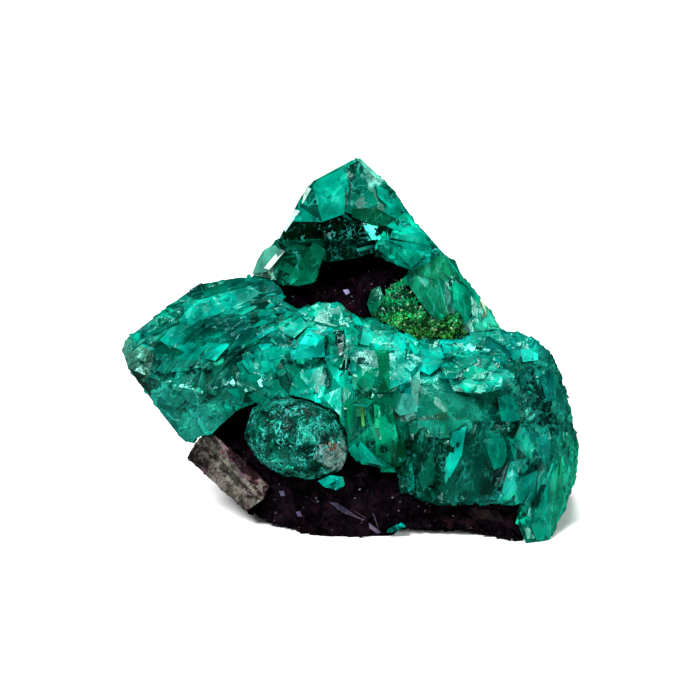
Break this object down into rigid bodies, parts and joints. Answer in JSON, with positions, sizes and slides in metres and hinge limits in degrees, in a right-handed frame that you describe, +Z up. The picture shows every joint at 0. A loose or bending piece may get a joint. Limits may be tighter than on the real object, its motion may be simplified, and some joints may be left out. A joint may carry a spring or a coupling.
{
  "type": "dioptase mineral specimen",
  "caption": "Free-standing lump of dark rock overgrown with clear blue-green dioptase crystals round an open pocket, with a rounded striated lump and a mossy patch of tiny crystals.",
  "frame": {"origin": "middle of the bounding box in X and Y, on the plane that the specimen rests on", "axes": "+Z up, +X to the right across the displayed front, +Y from the front towards the back, so the displayed front faces -Y"},
  "size_m": [0.0458, 0.0296, 0.0338],
  "materials": {
    "oxide_rock": "rough near-black iron and manganese oxide rock with a few glints",
    "weathered_rock": "cracked, weathered grey-brown host rock with a purple tint on one edge",
    "ridge_dioptase": "see-through teal crystal mass with broken, striated faces, bright edges and white cracks",
    "peak_dioptase": "see-through deep green crystal with smooth and hackly broken faces",
    "nodule_dioptase": "rounded fibrous green lump with curved lines and a grey-white crust",
    "druse_dioptase": "yellow-green carpet of tiny glittering crystals",
    "clear_dioptase": "small glassy green crystals"
  },
  "bodies": {
    "root": {"matrix_rock": "oxide_rock", "grey_block": "weathered_rock", "crystal_ridge": "ridge_dioptase", "peak_crystal": "peak_dioptase", "nodule": "nodule_dioptase", "druse": "druse_dioptase", "cavity_crystal": "clear_dioptase", "under_crystal": "clear_dioptase", "base_chip": "clear_dioptase"}
  },
  "joints": []
}
